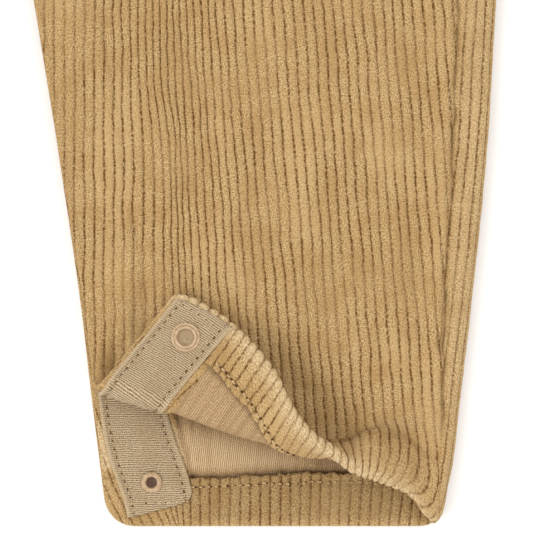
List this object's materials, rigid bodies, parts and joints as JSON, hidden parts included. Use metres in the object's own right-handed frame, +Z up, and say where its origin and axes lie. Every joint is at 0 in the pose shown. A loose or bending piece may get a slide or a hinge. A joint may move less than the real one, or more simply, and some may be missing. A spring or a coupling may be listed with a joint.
{
  "type": "toddler overalls",
  "caption": "Toddler overalls in wide-wale corduroy, laid flat, with snap inseams, buttoned straps and one front hem corner folded up.",
  "frame": {"origin": "under the middle of the laid garment, on the surface that it lies on", "axes": "+X towards the wearer's left, +Y from the hems to the straps, +Z up out of the front"},
  "size_m": [0.3692, 0.6756, 0.0267],
  "materials": {
    "corduroy": "tan wide-wale cotton corduroy, brushed",
    "tape": "close-ribbed cotton snap tape, pale brown",
    "snap": "moulded snap, satin tan",
    "button": "moulded button, satin tan"
  },
  "bodies": {
    "root": {"front_left": "corduroy", "front_right": "corduroy", "back_left": "corduroy", "back_right": "corduroy", "bib_front": "corduroy", "bib_back": "corduroy", "strap_left": "corduroy", "strap_right": "corduroy", "button_left": "button", "button_right": "button", "tape_front_left": "tape", "tape_front_right": "tape", "tape_back_left": "tape", "tape_back_right": "tape", "stud_left_1": "snap", "stud_left_2": "snap", "stud_left_3": "snap", "stud_left_4": "snap", "stud_right_1": "snap", "stud_right_2": "snap", "stud_right_3": "snap", "stud_right_4": "snap", "socket_left_1": "snap", "socket_left_2": "snap", "socket_left_3": "snap", "socket_left_4": "snap", "socket_right_1": "snap", "socket_right_2": "snap", "socket_right_3": "snap", "socket_right_4": "snap"}
  },
  "joints": []
}
